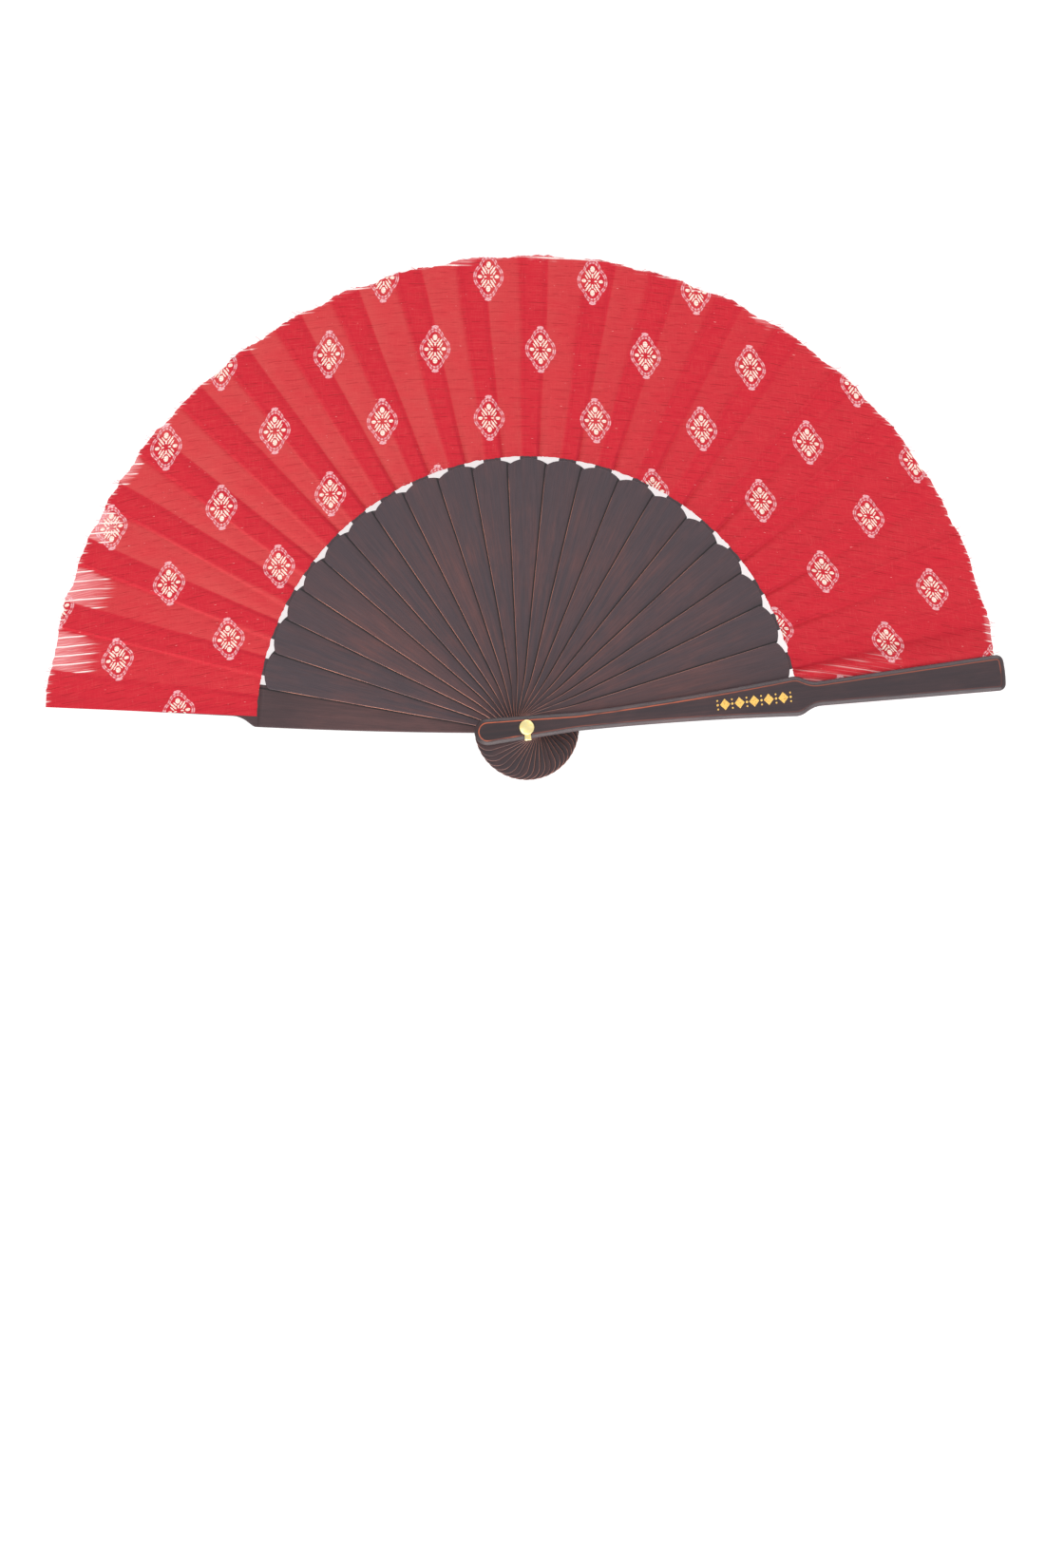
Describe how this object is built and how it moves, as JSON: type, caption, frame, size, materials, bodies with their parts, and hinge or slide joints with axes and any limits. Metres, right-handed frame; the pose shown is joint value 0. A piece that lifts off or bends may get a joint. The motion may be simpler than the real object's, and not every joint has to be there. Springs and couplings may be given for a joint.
{
  "type": "folding fan",
  "caption": "Open folding hand fan: thin scalloped wooden ribs and two thick shaped guards on one rivet, joined by a pleated red cloth leaf.",
  "frame": {"origin": "on the rivet's axis, in the plane of the back guard's outer face, at the middle of the rivet's flush foot", "axes": "+Z along the rivet from the back guard to the front guard; +Y to the middle of the spread leaf; +X towards the front guard's side"},
  "size_m": [0.4256, 0.2354, 0.0306],
  "materials": {
    "guard_wood": "satin, very dark brown, worn orange along the bevels",
    "rib_wood": "satin, very dark brown, worn orange along the edges",
    "leaf_cloth": "thin crimson cloth with small woven flower motifs",
    "brass": "polished"
  },
  "bodies": {
    "back_guard": {"back_guard": "guard_wood", "rivet": "brass", "rivet_cap": "brass", "leaf_pleat_01": "leaf_cloth"},
    "rib_01": {"rib_01": "rib_wood", "leaf_pleat_02": "leaf_cloth"},
    "rib_02": {"rib_02": "rib_wood", "leaf_pleat_03": "leaf_cloth"},
    "rib_03": {"rib_03": "rib_wood", "leaf_pleat_04": "leaf_cloth"},
    "rib_04": {"rib_04": "rib_wood", "leaf_pleat_05": "leaf_cloth"},
    "rib_05": {"rib_05": "rib_wood", "leaf_pleat_06": "leaf_cloth"},
    "rib_06": {"rib_06": "rib_wood", "leaf_pleat_07": "leaf_cloth"},
    "rib_07": {"rib_07": "rib_wood", "leaf_pleat_08": "leaf_cloth"},
    "rib_08": {"rib_08": "rib_wood", "leaf_pleat_09": "leaf_cloth"},
    "rib_09": {"rib_09": "rib_wood", "leaf_pleat_10": "leaf_cloth"},
    "rib_10": {"rib_10": "rib_wood", "leaf_pleat_11": "leaf_cloth"},
    "rib_11": {"rib_11": "rib_wood", "leaf_pleat_12": "leaf_cloth"},
    "rib_12": {"rib_12": "rib_wood", "leaf_pleat_13": "leaf_cloth"},
    "rib_13": {"rib_13": "rib_wood", "leaf_pleat_14": "leaf_cloth"},
    "rib_14": {"rib_14": "rib_wood", "leaf_pleat_15": "leaf_cloth"},
    "rib_15": {"rib_15": "rib_wood", "leaf_pleat_16": "leaf_cloth"},
    "rib_16": {"rib_16": "rib_wood", "leaf_pleat_17": "leaf_cloth"},
    "rib_17": {"rib_17": "rib_wood", "leaf_pleat_18": "leaf_cloth"},
    "rib_18": {"rib_18": "rib_wood", "leaf_pleat_19": "leaf_cloth"},
    "rib_19": {"rib_19": "rib_wood", "leaf_pleat_20": "leaf_cloth"},
    "rib_20": {"rib_20": "rib_wood", "leaf_pleat_21": "leaf_cloth"},
    "front_guard": {"front_guard": "guard_wood", "tab_washer": "brass"}
  },
  "joints": [
    {"name": "rib_01_turn", "type": "hinge", "parent": "back_guard", "child": "rib_01", "pos_m": [0, 0, 0], "axis": [0, 0, 1], "range_deg": [0, 8.4]},
    {"name": "rib_02_turn", "type": "hinge", "parent": "rib_01", "child": "rib_02", "pos_m": [0, 0, 0], "axis": [0, 0, 1], "range_deg": [0, 8]},
    {"name": "rib_03_turn", "type": "hinge", "parent": "rib_02", "child": "rib_03", "pos_m": [0, 0, 0], "axis": [0, 0, 1], "range_deg": [0, 7.8]},
    {"name": "rib_04_turn", "type": "hinge", "parent": "rib_03", "child": "rib_04", "pos_m": [0, 0, 0], "axis": [0, 0, 1], "range_deg": [0, 7.3]},
    {"name": "rib_05_turn", "type": "hinge", "parent": "rib_04", "child": "rib_05", "pos_m": [0, 0, 0], "axis": [0, 0, 1], "range_deg": [0, 7.8]},
    {"name": "rib_06_turn", "type": "hinge", "parent": "rib_05", "child": "rib_06", "pos_m": [0, 0, 0], "axis": [0, 0, 1], "range_deg": [0, 7.4]},
    {"name": "rib_07_turn", "type": "hinge", "parent": "rib_06", "child": "rib_07", "pos_m": [0, 0, 0], "axis": [0, 0, 1], "range_deg": [0, 7.6]},
    {"name": "rib_08_turn", "type": "hinge", "parent": "rib_07", "child": "rib_08", "pos_m": [0, 0, 0], "axis": [0, 0, 1], "range_deg": [0, 7.7]},
    {"name": "rib_09_turn", "type": "hinge", "parent": "rib_08", "child": "rib_09", "pos_m": [0, 0, 0], "axis": [0, 0, 1], "range_deg": [0, 8.1]},
    {"name": "rib_10_turn", "type": "hinge", "parent": "rib_09", "child": "rib_10", "pos_m": [0, 0, 0], "axis": [0, 0, 1], "range_deg": [0, 7.8]},
    {"name": "rib_11_turn", "type": "hinge", "parent": "rib_10", "child": "rib_11", "pos_m": [0, 0, 0], "axis": [0, 0, 1], "range_deg": [0, 7.8]},
    {"name": "rib_12_turn", "type": "hinge", "parent": "rib_11", "child": "rib_12", "pos_m": [0, 0, 0], "axis": [0, 0, 1], "range_deg": [0, 8.3]},
    {"name": "rib_13_turn", "type": "hinge", "parent": "rib_12", "child": "rib_13", "pos_m": [0, 0, 0], "axis": [0, 0, 1], "range_deg": [0, 7.8]},
    {"name": "rib_14_turn", "type": "hinge", "parent": "rib_13", "child": "rib_14", "pos_m": [0, 0, 0], "axis": [0, 0, 1], "range_deg": [0, 8.4]},
    {"name": "rib_15_turn", "type": "hinge", "parent": "rib_14", "child": "rib_15", "pos_m": [0, 0, 0], "axis": [0, 0, 1], "range_deg": [0, 8.2]},
    {"name": "rib_16_turn", "type": "hinge", "parent": "rib_15", "child": "rib_16", "pos_m": [0, 0, 0], "axis": [0, 0, 1], "range_deg": [0, 8.8]},
    {"name": "rib_17_turn", "type": "hinge", "parent": "rib_16", "child": "rib_17", "pos_m": [0, 0, 0], "axis": [0, 0, 1], "range_deg": [0, 8.3]},
    {"name": "rib_18_turn", "type": "hinge", "parent": "rib_17", "child": "rib_18", "pos_m": [0, 0, 0], "axis": [0, 0, 1], "range_deg": [0, 8.6]},
    {"name": "rib_19_turn", "type": "hinge", "parent": "rib_18", "child": "rib_19", "pos_m": [0, 0, 0], "axis": [0, 0, 1], "range_deg": [0, 8.2]},
    {"name": "rib_20_turn", "type": "hinge", "parent": "rib_19", "child": "rib_20", "pos_m": [0, 0, 0], "axis": [0, 0, 1], "range_deg": [0, 8.7]},
    {"name": "front_guard_turn", "type": "hinge", "parent": "rib_20", "child": "front_guard", "pos_m": [0, 0, 0], "axis": [0, 0, 1], "range_deg": [0, 7.7]}
  ],
  "couplings": [
    {"joint": "rib_02_turn", "follows": "rib_01_turn", "ratio": 0.95238},
    {"joint": "rib_03_turn", "follows": "rib_01_turn", "ratio": 0.92857},
    {"joint": "rib_04_turn", "follows": "rib_01_turn", "ratio": 0.86905},
    {"joint": "rib_05_turn", "follows": "rib_01_turn", "ratio": 0.92857},
    {"joint": "rib_06_turn", "follows": "rib_01_turn", "ratio": 0.88095},
    {"joint": "rib_07_turn", "follows": "rib_01_turn", "ratio": 0.90476},
    {"joint": "rib_08_turn", "follows": "rib_01_turn", "ratio": 0.91667},
    {"joint": "rib_09_turn", "follows": "rib_01_turn", "ratio": 0.96428},
    {"joint": "rib_10_turn", "follows": "rib_01_turn", "ratio": 0.92857},
    {"joint": "rib_11_turn", "follows": "rib_01_turn", "ratio": 0.92857},
    {"joint": "rib_12_turn", "follows": "rib_01_turn", "ratio": 0.98809},
    {"joint": "rib_13_turn", "follows": "rib_01_turn", "ratio": 0.92857},
    {"joint": "rib_14_turn", "follows": "rib_01_turn", "ratio": 1},
    {"joint": "rib_15_turn", "follows": "rib_01_turn", "ratio": 0.97619},
    {"joint": "rib_16_turn", "follows": "rib_01_turn", "ratio": 1.0476},
    {"joint": "rib_17_turn", "follows": "rib_01_turn", "ratio": 0.98809},
    {"joint": "rib_18_turn", "follows": "rib_01_turn", "ratio": 1.0238},
    {"joint": "rib_19_turn", "follows": "rib_01_turn", "ratio": 0.97619},
    {"joint": "rib_20_turn", "follows": "rib_01_turn", "ratio": 1.0357},
    {"joint": "front_guard_turn", "follows": "rib_01_turn", "ratio": 0.91667}
  ]
}
